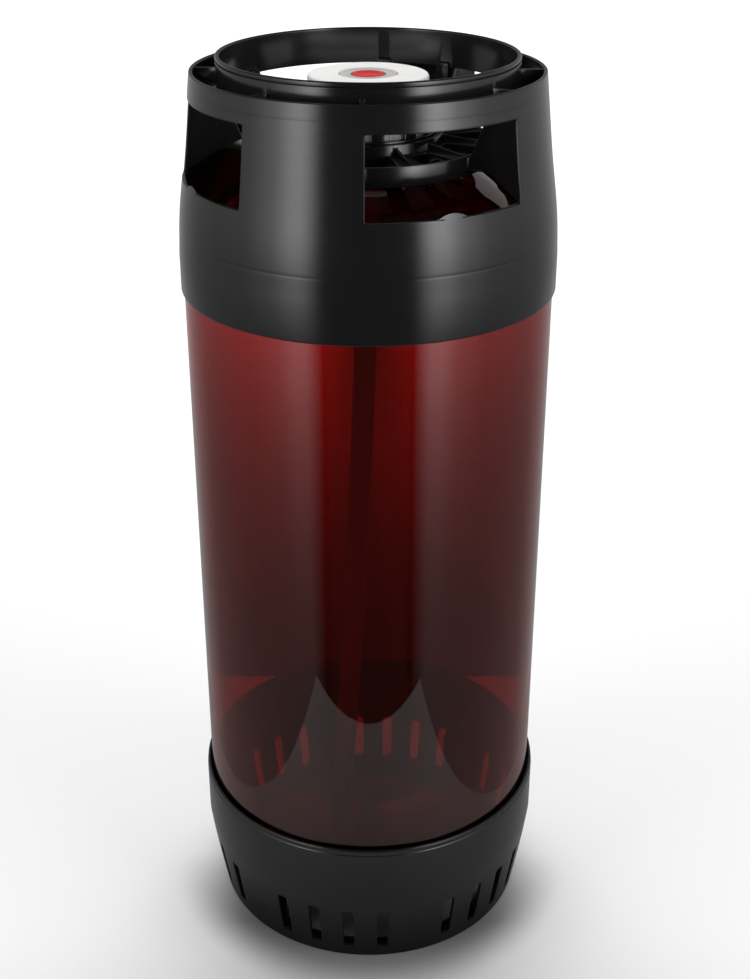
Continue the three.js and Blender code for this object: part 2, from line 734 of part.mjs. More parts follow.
const core = new THREE.Group();
core.add(
  piece('core_button', coreButton(), MATERIALS.redPlastic),
  piece('core_plunger', corePlunger(), MATERIALS.naturalPlastic),
  piece('core_o_ring', coreORing(), MATERIALS.blackRubber),
);
gasValve.add(core);
keg.add(gasValve);

export default keg;
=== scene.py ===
import json
import math

import bmesh
import bpy
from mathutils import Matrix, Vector


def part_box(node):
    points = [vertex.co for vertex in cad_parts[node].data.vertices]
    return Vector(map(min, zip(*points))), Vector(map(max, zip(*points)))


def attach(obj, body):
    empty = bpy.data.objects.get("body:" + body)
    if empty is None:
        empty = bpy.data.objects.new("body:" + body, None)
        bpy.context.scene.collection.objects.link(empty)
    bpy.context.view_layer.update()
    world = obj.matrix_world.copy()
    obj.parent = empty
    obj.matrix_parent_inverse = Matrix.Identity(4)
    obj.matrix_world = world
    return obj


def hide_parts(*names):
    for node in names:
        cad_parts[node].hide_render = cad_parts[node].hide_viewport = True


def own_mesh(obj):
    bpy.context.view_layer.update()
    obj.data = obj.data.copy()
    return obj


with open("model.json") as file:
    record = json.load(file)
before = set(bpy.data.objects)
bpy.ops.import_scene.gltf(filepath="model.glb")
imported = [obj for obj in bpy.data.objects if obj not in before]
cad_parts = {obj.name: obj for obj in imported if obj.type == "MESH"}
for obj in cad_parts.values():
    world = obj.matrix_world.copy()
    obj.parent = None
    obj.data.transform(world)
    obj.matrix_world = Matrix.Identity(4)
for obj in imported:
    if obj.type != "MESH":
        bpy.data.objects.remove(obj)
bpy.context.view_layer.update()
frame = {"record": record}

scene = bpy.context.scene
RECORD = frame["record"]
MM = 0.001
TAU = 2 * math.pi


# ------------------------------------------------------------------ sizes, in millimetres
def span(node):
    """(radius, lowest, highest) of a CAD node, in millimetres."""
    low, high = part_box(node)
    return max(high.x, -low.x) / MM, low.z / MM, high.z / MM


BOTTLE_R, BOTTLE_FOOT, NECK_TOP = span("bottle")
CUP_R, _, CUP_RIM = span("base_cup")
SKIRT_R, SKIRT_FOOT, COLLAR_TOP = span("handle_ring")
CAP_R, CAP_FOOT, CAP_TOP = span("closure_cap")
CLIP_R, CLIP_FOOT, CLIP_TOP = span("neck_clip")

# bottle
WALL = 0.7
DOME_Z = 100.5
SHOULDER_Z = 466.0
SHOULDER_RISE = 80.0
NECK_R = 30.3
NECK_BORE = 25.6
NECK_FOOT = (543.4, 545.0)  # outside, inside
NECK_FLARE = (3.5, 2.0)  # how much wider the shoulder still is at the neck's foot: outside, inside
BEAD_R = 35.0
BEAD_Z = (545.9, 548.2)

# handle ring
SHELL_TOP = 594.0
SHELL_OUTLINE = [(SKIRT_R, 484.0), (116.2, 511.0), (111.4, 547.5), (106.5, 593.0)]
SHELL_WALL = 2.6
SKIRT_BORE = 116.3
SKIRT_BORE_TOP = 480.0
WITNESS_LINES = (584.4, 500.2)
HANDHOLD_HALF = 25.6  # degrees
HANDHOLD_Z = (531.5, 578.5)
HANDHOLD_CORNER = 1.4
WEB_ANGLE = 26.5
WEB_THICK = 2.4
WEB_FOOT = (90.0, 545.0)
WEB_TOP = 593.4
LUG_Z = (570.0, 584.0)
LUG_OUT = 3.9
LUG_WIDE = 8.0
LUG_FROM_WEB = 5  # degrees
COLLAR_R = 90.8
COLLAR_WALL = 2.8
COLLAR_FOOT = 580.5
COLLAR_LINE = 599.5
HUB_R = 75.0
HUB_BORE = 43.1
HUB_WALL = 2.4
HUB_FLOOR = (549.6, 551.6)
HUB_BORE_FOOT = 543.5
HUB_RIM = (541.0, 552.5)
HUB_CREST = 557.6
HUB_RIBS = 12
HUB_RIB_THICK = 1.8
HUB_TURN = -4.0  # degrees from the front to the nearest rib
POCKET_R = (48.0, 70.2)
POCKET_HALF = (7.1, 10.6)

# neck clip
CLIP_BORE = 37.1
CLIP_WALL_R = 39.5
CLIP_LIP_Z = (556.3, 558.5)
FINGERS = 12
FINGER_HALF = 6.5  # degrees

# base cup
CUP_WALL = 2.4
CREASE_Z = 62.0
FOOT_R = 110.0
FOOT_BORE = 95.0
FOOT_THICK = 3.0
CUP_LINE = 96.8
CUP_RIB_R = (97.5, 113.0)  # where a rib meets the bottle's dome
CUP_RIB_THICK = 2.2
SLOT_Z = (10.2, 45.4)
SLOT_HALF = 1.9  # degrees
SLOTS = [22 + 60 * group + 12 * (n - 1.5) for group in range(6) for n in range(4)]
CUP_RIBS = [52 + 60 * group + side for group in range(6) for side in (-5, 5)]

# dip tube
TUBE_R = (6.0, 7.5)
TUBE_Z = (26.0, 537.8)
TUBE_BEND = 515.0
TUBE_LEAN = 23.0
TUBE_AZIMUTH = 245.0

# closure
GRIPS = 90
GRIP_Z = (552.0, 573.5)

# facets: the odd first angle keeps facet lines clear of the openings' edges
ROUND = 180
SMALL_ROUND = 96
FIRST_FACET = 1.0


# ------------------------------------------------------------------ mesh tools
def polar(radius, azimuth, z):
    """A point in metres; the azimuth is in degrees from -Y towards +X."""
    a = math.radians(azimuth)
    return Vector((radius * math.sin(a), -radius * math.cos(a), z)) * MM


def new_object(name, bm):
    bmesh.ops.recalc_face_normals(bm, faces=bm.faces)
    mesh = bpy.data.meshes.new(name)
    bm.to_mesh(mesh)
    bm.free()
    obj = bpy.data.objects.new(name, mesh)
    scene.collection.objects.link(obj)
    return obj


def fillet(corners, steps=5):
    """A closed outline from (r, z) or (r, z, radius) corners, with the radii as short curves."""
    outline = []
    count = len(corners)
    for i, corner in enumerate(corners):
        here = Vector(corner[:2])
        radius = corner[2] if len(corner) > 2 else 0
        if not radius:
            outline.append(tuple(here))
            continue
        back = Vector(corners[i - 1][:2]) - here
        ahead = Vector(corners[(i + 1) % count][:2]) - here
        reach = radius / math.tan(back.angle(ahead) / 2)
        start = here + back.normalized() * min(reach, back.length * 0.49)
        end = here + ahead.normalized() * min(reach, ahead.length * 0.49)
        for k in range(steps + 1):
            t = k / steps
            outline.append(tuple(start * (1 - t) ** 2 + here * 2 * t * (1 - t) + end * t * t))
    return outline


def ellipse(centre_z, a, b, start, end, steps):
    """Points of an ellipse round the axis, from start to end degrees above the horizontal."""
    angles = [math.radians(start + (end - start) * i / steps) for i in range(steps + 1)]
    return [(a * math.cos(t), centre_z + b * math.sin(t)) for t in angles]


def spline(points, steps):
    """A Catmull-Rom curve through the points, with its ends carried on straight."""
    path = [Vector(p) for p in points]
    path = [2 * path[0] - path[1]] + path + [2 * path[-1] - path[-2]]
    out = []
    for i in range(1, len(path) - 2):
        before, a, b, after = path[i - 1:i + 3]
        for k in range(steps):
            t = k / steps
            bend = 2 * before - 5 * a + 4 * b - after
            twist = 3 * a - before - 3 * b + after
            out.append(tuple(0.5 * (2 * a + (b - before) * t + bend * t * t + twist * t ** 3)))
    out.append(tuple(path[-2]))
    return out


def revolve(bm, outline, facets=ROUND, first=FIRST_FACET):
    """Turns a closed (r, z) outline about the axis into a solid in bm."""
    rings = []
    for r, z in outline:
        if r < 1e-6:
            rings.append([bm.verts.new((0, 0, z * MM))])
        else:
            rings.append([bm.verts.new(polar(r, first + 360 * k / facets, z)) for k in range(facets)])
    for here, there in zip(rings, rings[1:] + rings[:1]):
        if len(here) == 1 and len(there) == 1:
            continue
        for k in range(facets):
            n = (k + 1) % facets
            corners = [ring[i % len(ring)] for ring, i in ((here, k), (here, n), (there, n), (there, k))]
            bm.faces.new(list(dict.fromkeys(corners)))


def loft(bm, loops):
    """A solid through closed loops of points, capped at both ends."""
    rings = [[bm.verts.new(p) for p in loop] for loop in loops]
    for here, there in zip(rings, rings[1:]):
        count = len(here)
        for k in range(count):
            n = (k + 1) % count
            bm.faces.new((here[k], here[n], there[n], there[k]))
    bm.faces.new(rings[0])
    bm.faces.new(rings[-1])


def plate(bm, outline, thickness, azimuth):
    """An upright plate on a radius: its outline is (r, z)."""
    side = polar(thickness / 2, azimuth + 90, 0)
    loft(bm, [[polar(r, azimuth, z) + side * s for r, z in outline] for s in (-1, 1)])


def column(bm, plan, low, high, azimuth):
    """An upright prism over a plan of (across, out) points, turned to an azimuth."""
    across = polar(1, azimuth + 90, 0)
    out = polar(1, azimuth, 0)
    loft(bm, [[across * x + out * y + Vector((0, 0, z * MM)) for x, y in plan] for z in (low, high)])


def wedge(bm, azimuth, half, z_range, corner, near, far, steps=5):
    """A cutter with radial sides and round corners, for an opening through a round wall."""
    low, high = z_range
    middle = (near + far) / 2
    width = math.radians(half) * middle
    corners = [(-width, low, corner), (width, low, corner), (width, high, corner), (-width, high, corner)]
    outline = fillet(corners, steps)
    turned = [(azimuth + math.degrees(x / middle), z) for x, z in outline]
    loft(bm, [[polar(r, a, z) for a, z in turned] for r in (near, far)])


def helix_tube(bm, radius, wire, low, high, turns, sides=10, steps_per_turn=40):
    """A coil spring whose end turns lie flat against their seats."""
    closed = 0.75  # of a turn at each end
    spacing = 2.02 * wire
    steps = turns * steps_per_turn
    loops = []
    for i in range(steps + 1):
        turn = turns * i / steps
        lift = min(max((turn - closed) / (turns - 2 * closed), 0), 1)
        flat = spacing * (min(turn, closed) / closed + max(turn - turns + closed, 0) / closed) / 2
        z = low + flat + lift * (high - low - spacing)
        azimuth = 360 * turn
        centre = polar(radius, azimuth, z)
        out = polar(1, azimuth, 0).normalized()
        around = [TAU * k / sides for k in range(sides)]
        spokes = [out * math.cos(angle) + Vector((0, 0, 1)) * math.sin(angle) for angle in around]
        loops.append([centre + spoke * wire * MM for spoke in spokes])
    loft(bm, loops)


def solid(name, build, *args):
    bm = bmesh.new()
    build(bm, *args)
    return new_object(name, bm)


def apply_modifiers(obj):
    """Replaces the mesh by what its modifiers make of it."""
    bpy.context.view_layer.update()
    shown = obj.evaluated_get(bpy.context.evaluated_depsgraph_get())
    mesh = bpy.data.meshes.new_from_object(shown)
    obj.modifiers.clear()
    old, obj.data = obj.data, mesh
    bpy.data.meshes.remove(old)


def combine(obj, other, operation):
    """Joins or cuts obj with other, and removes other."""
    cut = obj.modifiers.new("cut", "BOOLEAN")
    cut.operation = operation
    cut.solver = "EXACT"
    cut.object = other
    apply_modifiers(obj)
    bpy.data.objects.remove(other)


def soften(obj, width, segments=2, angle=32):
    """Rounds the edges and gives smooth shading that stops at what is still sharp."""
    bevel = obj.modifiers.new("edges", "BEVEL")
    bevel.width = width * MM
    bevel.segments = segments
    bevel.limit_method = "ANGLE"
    bevel.angle_limit = math.radians(angle)
    bevel.use_clamp_overlap = False
    apply_modifiers(obj)
    smooth(obj)


def smooth(obj, angle=35):
    obj.data.polygons.foreach_set("use_smooth", [True] * len(obj.data.polygons))
    obj.data.set_sharp_from_angle(angle=math.radians(angle))


# ------------------------------------------------------------------ node tools
class Graph:
    """Short calls for building a material's nodes."""

    def __init__(self, name):
        self.material = bpy.data.materials.new(name)
        self.material.use_nodes = True
        self.tree = self.material.node_tree
        self.tree.nodes.clear()

    def add(self, kind, **inputs):
        node = self.tree.nodes.new(kind)
        for key, value in inputs.items():
            self.set(node, key.replace("_", " "), value)
        return node

    def set(self, node, key, value):
        socket = node.inputs[int(key)] if key.isdigit() else node.inputs[key]
        if isinstance(value, bpy.types.NodeSocket):
            self.tree.links.new(value, socket)
        else:
            socket.default_value = value

    def math(self, operation, a, b=0.0):
        node = self.add("ShaderNodeMath")
        node.operation = operation
        self.set(node, "0", a)
        self.set(node, "1", b)
        return node.outputs[0]

    def remap(self, value, low, high, to_low, to_high):
        return self.map_range(value, low, high, to_low, to_high, "LINEAR")

    def smoothstep(self, value, low, high, to_low, to_high):
        return self.map_range(value, low, high, to_low, to_high, "SMOOTHSTEP")

    def map_range(self, value, low, high, to_low, to_high, interpolation):
        node = self.add("ShaderNodeMapRange", Value=value, From_Min=low, From_Max=high,
                        To_Min=to_low, To_Max=to_high)
        node.interpolation_type = interpolation
        return node.outputs[0]

    def noise(self, vector, scale, detail=3.0, roughness=0.5):
        node = self.add("ShaderNodeTexNoise", Vector=vector, Scale=scale, Detail=detail,
                        Roughness=roughness)
        return node.outputs["Fac"]

    def scaled(self, vector, size):
        node = self.add("ShaderNodeVectorMath", **{"0": vector, "1": size})
        node.operation = "MULTIPLY"
        return node.outputs[0]

    def position(self):
        return self.add("ShaderNodeTexCoord").outputs["Object"]

    def split(self, vector):
        return self.add("ShaderNodeSeparateXYZ", Vector=vector).outputs

    def azimuth(self, x, y):
        return self.math("ARCTAN2", x, self.math("MULTIPLY", y, -1.0))

    def unrolled(self):
        """The surface unrolled from the axis: metres along the round, then height."""
        x, y, z = self.split(self.position())
        angle = self.azimuth(x, y)
        join = self.add("ShaderNodeCombineXYZ", X=self.math("MULTIPLY", angle, BOTTLE_R * MM), Y=z)
        return join.outputs[0]

    def mix_colour(self, factor, a, b):
        node = self.add("ShaderNodeMix")
        node.data_type = "RGBA"
        self.set(node, "0", factor)
        self.set(node, "6", a)
        self.set(node, "7", b)
        return node.outputs[2]

    def bump(self, height, strength, distance):
        node = self.add("ShaderNodeBump", Height=height, Strength=strength, Distance=distance)
        return node.outputs[0]

    def finish(self, shader):
        self.add("ShaderNodeOutputMaterial", Surface=shader)
        return self.material


def principled(graph, **inputs):
    return graph.add("ShaderNodeBsdfPrincipled", **inputs).outputs[0]


# ------------------------------------------------------------------ materials
def black_plastic():
    """Satin moulded polyethylene with fine scuffs that run round the keg."""
    g = Graph("black_plastic")
    round_the_keg = g.unrolled()
    cloud = g.noise(g.position(), 14.0)
    scuff = g.noise(g.scaled(round_the_keg, (18.0, 900.0, 1.0)), 1.0, 4.0, 0.6)
    grain = g.noise(g.position(), 1400.0, 2.0)
    colour = g.mix_colour(cloud, (0.0092, 0.0096, 0.0102, 1), (0.0130, 0.0135, 0.0142, 1))
    rough = g.math("ADD", g.remap(scuff, 0.35, 0.75, 0.14, 0.20), g.math("MULTIPLY", cloud, 0.04))
    relief = g.math("ADD", g.math("MULTIPLY", scuff, 0.25), g.math("MULTIPLY", grain, 0.5))
    return g.finish(principled(g, Base_Color=colour, Roughness=rough,
                               Normal=g.bump(relief, 0.12, 0.00006)))


def red_pet():
    """Blown PET: clear, deep red, glossy, with faint ripples; lamps reach through it, tinted."""
    g = Graph("red_pet")
    round_the_keg = g.unrolled()
    height = g.split(g.position())[2]
    depth = g.remap(height, 0.10, 0.48, 0.0, 1.0)
    tint = g.mix_colour(depth, (0.27, 0.032, 0.024, 1), (0.31, 0.040, 0.030, 1))
    ripple = g.noise(g.scaled(round_the_keg, (9.0, 4.0, 1.0)), 1.0, 2.0)
    body = principled(g, Base_Color=tint, Roughness=0.02, IOR=1.57, Transmission_Weight=1.0,
                      Normal=g.bump(ripple, 0.3, 0.0006))
    passing = g.add("ShaderNodeBsdfTransparent", Color=(0.22, 0.055, 0.04, 1)).outputs[0]
    lamps = g.add("ShaderNodeLightPath").outputs["Is Shadow Ray"]
    mix = g.add("ShaderNodeMixShader", **{"0": lamps, "1": body, "2": passing})
    return g.finish(mix.outputs[0])


def moulded(name, light, dark, roughness, subsurface=0.0):
    """Plain moulded plastic or rubber: faint mottling, fine grain, uneven gloss."""
    g = Graph(name)
    cloud = g.noise(g.position(), 60.0)
    grain = g.noise(g.position(), 2500.0, 2.0)
    colour = g.mix_colour(cloud, (*dark, 1), (*light, 1))
    rough = g.remap(cloud, 0.3, 0.7, roughness - 0.05, roughness + 0.05)
    shader = principled(g, Base_Color=colour, Roughness=rough, Subsurface_Weight=subsurface,
                        Subsurface_Scale=0.002, Normal=g.bump(grain, 0.15, 0.00004))
    return g.finish(shader)


def spring_steel():
    g = Graph("spring_steel")
    drawn = g.noise(g.scaled(g.position(), (300.0, 300.0, 3000.0)), 1.0)
    colour = g.mix_colour(drawn, (0.50, 0.51, 0.53, 1), (0.66, 0.67, 0.69, 1))
    return g.finish(principled(g, Base_Color=colour, Metallic=1.0,
                               Roughness=g.remap(drawn, 0.3, 0.7, 0.22, 0.36)))


MATERIALS = {
    "red_pet": red_pet(),
    "black_plastic": black_plastic(),
    "white_plastic": moulded("white_plastic", (0.86, 0.86, 0.84), (0.80, 0.80, 0.78), 0.38, 0.1),
    "natural_plastic": moulded("natural_plastic", (0.80, 0.79, 0.74), (0.72, 0.71, 0.66), 0.42, 0.3),
    "grey_rubber": moulded("grey_rubber", (0.50, 0.50, 0.50), (0.40, 0.40, 0.40), 0.6),
    "black_rubber": moulded("black_rubber", (0.030, 0.030, 0.030), (0.018, 0.018, 0.018), 0.6),
    "red_plastic": moulded("red_plastic", (0.66, 0.040, 0.045), (0.54, 0.025, 0.030), 0.34),
    "spring_steel": spring_steel(),
}
NODE_SLOT = {row["node"]: row["material_slot"] for row in RECORD["subparts"]}
NODE_BODY = {node: body for body, nodes in RECORD["behaviour"]["bodies"].items() for node in nodes}


def place(obj, node):
    """The piece stands for its CAD node: same body, same material slot."""
    slot = NODE_SLOT[node]
    obj.data.materials.clear()
    obj.data.materials.append(MATERIALS[slot])
    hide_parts(node)
    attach(obj, NODE_BODY[node])


def place_turned(name, node, corners):
    """A piece that is one revolved outline."""
    obj = solid(name, revolve, fillet(corners), SMALL_ROUND, 0.0)
    smooth(obj)
    place(obj, node)


# ------------------------------------------------------------------ bottle
def straight(radius, start, end, steps=8):
    """Points between the ends of an upright line."""
    return [(radius, start + k * (end - start) / steps) for k in range(1, steps)]


def make_bottle():
    inner = BOTTLE_R - WALL
    depth = DOME_Z - BOTTLE_FOOT
    neck_root = math.degrees(math.acos((NECK_R + NECK_FLARE[0]) / BOTTLE_R))
    bore_root = math.degrees(math.acos((NECK_BORE + NECK_FLARE[1]) / inner))
    outside = ellipse(DOME_Z, BOTTLE_R, depth, -90, 0, 40)
    outside += straight(BOTTLE_R, DOME_Z, SHOULDER_Z)
    outside += ellipse(SHOULDER_Z, BOTTLE_R, SHOULDER_RISE, 0, neck_root, 40)
    bead_low, bead_high = BEAD_Z
    neck = fillet([
        (NECK_R, NECK_FOOT[0], 1.5), (NECK_R, bead_low - 0.4, 0.3), (BEAD_R, bead_low, 0.5),
        (BEAD_R, bead_high, 0.5), (NECK_R, bead_high + 0.5, 0.4), (NECK_R, NECK_TOP, 0.5),
        (NECK_BORE, NECK_TOP, 0.6), (NECK_BORE, NECK_FOOT[1], 1.5),
    ])
    inside = ellipse(SHOULDER_Z, inner, SHOULDER_RISE - WALL, bore_root, 0, 40)
    inside += straight(inner, SHOULDER_Z, DOME_Z)
    inside += ellipse(DOME_Z, inner, depth - WALL, 0, -90, 40)
    obj = solid("pet_bottle", revolve, outside + neck + inside, 256, 0.0)
    smooth(obj)
    place(obj, "bottle")


# ------------------------------------------------------------------ handle ring
def witness_line(outline, z, half=0.35, depth=0.06):
    """A fine groove where two parts of the mould meet."""
    below = [p for p in outline if p[1] < z - half]
    above = [p for p in outline if p[1] > z + half]
    start, end = below[-1], above[0]

    def radius(height):
        t = (height - start[1]) / (end[1] - start[1])
        return start[0] + t * (end[0] - start[0])

    groove = [(radius(z - half), z - half), (radius(z) - depth, z), (radius(z + half), z + half)]
    return below + groove + above


def shell_outline():
    curve = spline(SHELL_OUTLINE, 7)
    outside = curve
    for z in WITNESS_LINES:
        outside = witness_line(outside, z)
    inside = [(r - SHELL_WALL, z) for r, z in reversed(curve[1:])]
    rim_r = SHELL_OUTLINE[-1][0]
    rim = fillet([
        SHELL_OUTLINE[-1], (rim_r - 0.2, SHELL_TOP, 0.9), (rim_r - 2.4, SHELL_TOP, 0.9),
        (rim_r - SHELL_WALL, SHELL_TOP - 1.1),
    ])
    foot = [
        (SKIRT_BORE, SKIRT_BORE_TOP), (SKIRT_BORE, SKIRT_FOOT + 0.4), (SKIRT_BORE + 0.4, SKIRT_FOOT),
        (SKIRT_BORE + 1.2, SKIRT_FOOT), (SKIRT_R, SKIRT_FOOT + 0.6),
    ]
    return foot + outside + rim[1:-1] + inside


def collar(bm):
    inner = COLLAR_R - COLLAR_WALL
    revolve(bm, fillet([
        (inner, COLLAR_FOOT, 0.4), (COLLAR_R, COLLAR_FOOT, 0.4), (COLLAR_R, COLLAR_LINE - 0.3),
        (COLLAR_R - 0.25, COLLAR_LINE), (COLLAR_R, COLLAR_LINE + 0.3), (COLLAR_R, COLLAR_TOP, 1.1),
        (inner, COLLAR_TOP, 1.1),
    ]))


def hub_plate(bm):
    near, far = HUB_BORE + HUB_WALL, HUB_R - HUB_WALL
    revolve(bm, [
        (far, HUB_RIM[0]), (HUB_R, HUB_RIM[0]), (HUB_R, HUB_RIM[1]), (far, HUB_RIM[1]),
        (far, HUB_FLOOR[1]), (near, HUB_FLOOR[1]), (near, HUB_CREST), (HUB_BORE, HUB_CREST),
        (HUB_BORE, HUB_BORE_FOOT), (near, HUB_BORE_FOOT), (near, HUB_FLOOR[0]), (far, HUB_FLOOR[0]),
    ])


def hub_ribs(bm):
    """Low gussets that slope from the hub's crest to its rim."""
    near, far = HUB_BORE + HUB_WALL / 2, HUB_R - HUB_WALL / 2
    foot = HUB_FLOOR[0] + 0.7
    outline = [(near, foot), (far, foot), (far, HUB_RIM[1] - 0.4), (near, HUB_CREST - 1.5)]
    for n in range(HUB_RIBS):
        plate(bm, outline, HUB_RIB_THICK, HUB_TURN + 360 * n / HUB_RIBS)


def hub_pockets(bm):
    """The openings in the hub's plate, one between each two ribs."""
    (near, far), (near_half, far_half) = POCKET_R, POCKET_HALF
    corner = 0.8
    plan = fillet([
        (-near_half, near, corner), (near_half, near, corner), (far_half, far, corner),
        (-far_half, far, corner),
    ], 3)
    for n in range(HUB_RIBS):
        azimuth = HUB_TURN + 360 * (n + 0.5) / HUB_RIBS
        column(bm, plan, HUB_FLOOR[0] - 2, HUB_FLOOR[1] + 2, azimuth)


def webs(bm):
    """The plates beside each handhold that join the hub, the collar and the shell."""
    low, high = HANDHOLD_Z[0] - 3.5, WEB_TOP - 1.4
    curve = [(r - SHELL_WALL / 2, z) for r, z in spline(SHELL_OUTLINE, 7) if low < z < high]
    into_hub, into_collar = HUB_R - HUB_WALL / 2, COLLAR_R - 1.2
    outline = [(into_hub, HUB_RIM[0] + 3), WEB_FOOT] + curve + [
        (SHELL_OUTLINE[-1][0] - 1.5, WEB_TOP), (into_collar, WEB_TOP),
        (into_collar, COLLAR_FOOT + 1.5), (HUB_R + 1.5, HUB_RIM[1] - 0.7), (into_hub, HUB_RIM[1] - 0.7),
    ]
    for quarter in range(4):
        for side in (-1, 1):
            plate(bm, outline, WEB_THICK, 90 * quarter + side * WEB_ANGLE)


def lugs(bm):
    """Small stops inside the collar, beside the webs."""
    wall = COLLAR_R - COLLAR_WALL + 0.7
    low, high = LUG_Z
    outline = [
        (wall, high), (wall - LUG_OUT, high - 1), (wall - LUG_OUT, low + 2),
        (wall - LUG_OUT * 2 / 3, low), (wall, low),
    ]
    for quarter in range(4):
        for side in (-1, 1):
            plate(bm, outline, LUG_WIDE, 90 * quarter + side * (WEB_ANGLE + LUG_FROM_WEB))


def handholds(bm):
    for quarter in range(4):
        wedge(bm, 90 * quarter, HANDHOLD_HALF, HANDHOLD_Z, HANDHOLD_CORNER, 99, 125)


def make_handle_ring():
    ring = solid("handle_ring_body", revolve, shell_outline())
    combine(ring, solid("cutters", handholds), "DIFFERENCE")
    hub = solid("hub", hub_plate)
    combine(hub, solid("ribs", hub_ribs), "UNION")
    combine(hub, solid("pockets", hub_pockets), "DIFFERENCE")
    combine(hub, solid("webs", webs), "UNION")
    rim = solid("collar", collar)
    combine(rim, solid("lugs", lugs), "UNION")
    combine(hub, rim, "UNION")
    combine(ring, hub, "UNION")
    soften(ring, 0.35)
    place(ring, "handle_ring")


# ------------------------------------------------------------------ neck clip
def clip_fingers(bm):
    """Snap fingers, each with a hook that points outwards at its tip."""
    profile = [
        (CLIP_BORE + 0.1, 556.0), (CLIP_WALL_R - 0.1, 556.0), (CLIP_WALL_R - 0.4, 564.4),
        (CLIP_WALL_R + 0.9, 566.0), (CLIP_WALL_R + 0.4, CLIP_TOP), (CLIP_BORE + 0.3, CLIP_TOP),
    ]
    for n in range(FINGERS):
        azimuth = 360 * (n + 0.5) / FINGERS
        angles = [azimuth + FINGER_HALF * k / 3 for k in range(-3, 4)]
        loft(bm, [[polar(r, a, z) for r, z in profile] for a in angles])


def make_neck_clip():
    lip_low, lip_high = CLIP_LIP_Z
    ring = solid("neck_clip_ring", revolve, [
        (CLIP_BORE, CLIP_FOOT), (CLIP_WALL_R, CLIP_FOOT), (CLIP_WALL_R, lip_low - 1.2),
        (CLIP_R, lip_low), (CLIP_R, lip_high), (CLIP_BORE, lip_high),
    ])
    combine(ring, solid("fingers", clip_fingers), "UNION")
    soften(ring, 0.25)
    place(ring, "neck_clip")


# ------------------------------------------------------------------ base cup
def cup_cone(t):
    """The lower wall, from the foot at 0 to the crease at 1."""
    start = Vector((FOOT_R, 1))
    pull = Vector((117.5, 43))
    end = Vector((CUP_R - 0.2, CREASE_Z - 0.9))
    return tuple(start * (1 - t) ** 2 + pull * 2 * t * (1 - t) + end * t * t)


def cup_outline():
    cone = [cup_cone(k / 9) for k in range(10)]
    foot = fillet([(FOOT_BORE, 0, 0.5), (FOOT_R - 0.2, 0, 1.0), cone[1]])[:-1]
    rim_r = CUP_R - 0.35
    bore = CUP_R - CUP_WALL
    rim = fillet([
        (CUP_R, CREASE_Z + 0.4), (CUP_R, CUP_LINE, 0.4), (rim_r, CUP_LINE + 0.5, 0.3),
        (rim_r, CUP_RIM, 1.3), (bore, CUP_RIM, 0.8), (bore, CREASE_Z),
    ])
    inside = [(r - CUP_WALL, z) for r, z in reversed(cone[2:])]
    corner = FOOT_R - CUP_WALL
    floor = [(corner, FOOT_THICK + 2), (corner - 1.5, FOOT_THICK), (FOOT_BORE, FOOT_THICK)]
    return foot + cone[1:] + rim + inside + floor


def cup_ribs(bm):
    """Ribs inside the cup that carry the bottle's dome, with a small gap under it."""
    wall = [(r - CUP_WALL / 2, z) for r, z in (cup_cone(k / 5) for k in range(1, 6))]
    gap = 0.4
    dome_r = BOTTLE_R + gap
    depth = DOME_Z - BOTTLE_FOOT + gap
    inner, outer = (-math.degrees(math.acos(r / dome_r)) for r in CUP_RIB_R)
    dome = ellipse(DOME_Z, dome_r, depth, outer, inner, 8)
    foot = [(CUP_RIB_R[0], 2.0), (FOOT_R - CUP_WALL + 0.6, 2.0)]
    outline = foot + wall + [(CUP_R - CUP_WALL / 2, 80.0)] + dome
    for azimuth in CUP_RIBS:
        plate(bm, outline, CUP_RIB_THICK, azimuth)


def cup_slots(bm):
    for azimuth in SLOTS:
        wedge(bm, azimuth, SLOT_HALF, SLOT_Z, 1.5, 98, 130, 4)


def make_base_cup():
    cup = solid("base_cup_body", revolve, cup_outline())
    combine(cup, solid("slots", cup_slots), "DIFFERENCE")
    combine(cup, solid("ribs", cup_ribs), "UNION")
    soften(cup, 0.3)
    place(cup, "base_cup")


# ------------------------------------------------------------------ closure
def cap_outline():
    """The skirt, the coupler's groove, the flange and the hole for the valve."""
    return fillet([
        (30.9, CAP_FOOT, 0.4), (36.0, CAP_FOOT, 0.6), (36.0, 575.6, 0.8), (31.0, 576.4, 0.6),
        (31.0, 581.6, 0.6), (CAP_R, 582.6, 0.5), (CAP_R, CAP_TOP, 2.5), (18.3, CAP_TOP, 0.25),
        (17.7, 590.1, 0.2), (17.7, 586.6), (26.4, 586.6), (26.4, 573.0), (30.9, 573.0),
    ], 7)


def cap_grips(bm):
    """Fine upright grip ribs round the skirt."""
    plan = [(-0.45, 35.6), (-0.25, 36.35), (0.25, 36.35), (0.45, 35.6)]
    for n in range(GRIPS):
        column(bm, plan, *GRIP_Z, 360 * n / GRIPS)


def make_closure():
    cap = solid("closure_cap_body", revolve, cap_outline(), 144, 1.0)
    combine(cap, solid("grips", cap_grips), "UNION")
    smooth(cap)
    place(cap, "closure_cap")


# ------------------------------------------------------------------ valve
def make_valve_body():
    place_turned("valve_body_housing", "valve_body", [
        (20.6, 538, 0.3), (24.9, 538, 0.8), (24.9, 569.6), (30.4, 569.6, 0.2), (30.4, 572.7, 0.3),
        (26.1, 572.7), (26.1, 586.3, 0.3), (17.9, 586.3, 0.3), (17.9, 583.2, 0.3), (22.4, 583.2),
        (22.4, 539.7), (20.6, 539.7),
    ])


def seat_ports(bm):
    """Notches in the spring seat's rim that the gas passes through."""
    count = 8
    for n in range(count):
        column(bm, [(-2, 20.4), (2, 20.4), (2, 23), (-2, 23)], 539, 545, 360 * n / count)


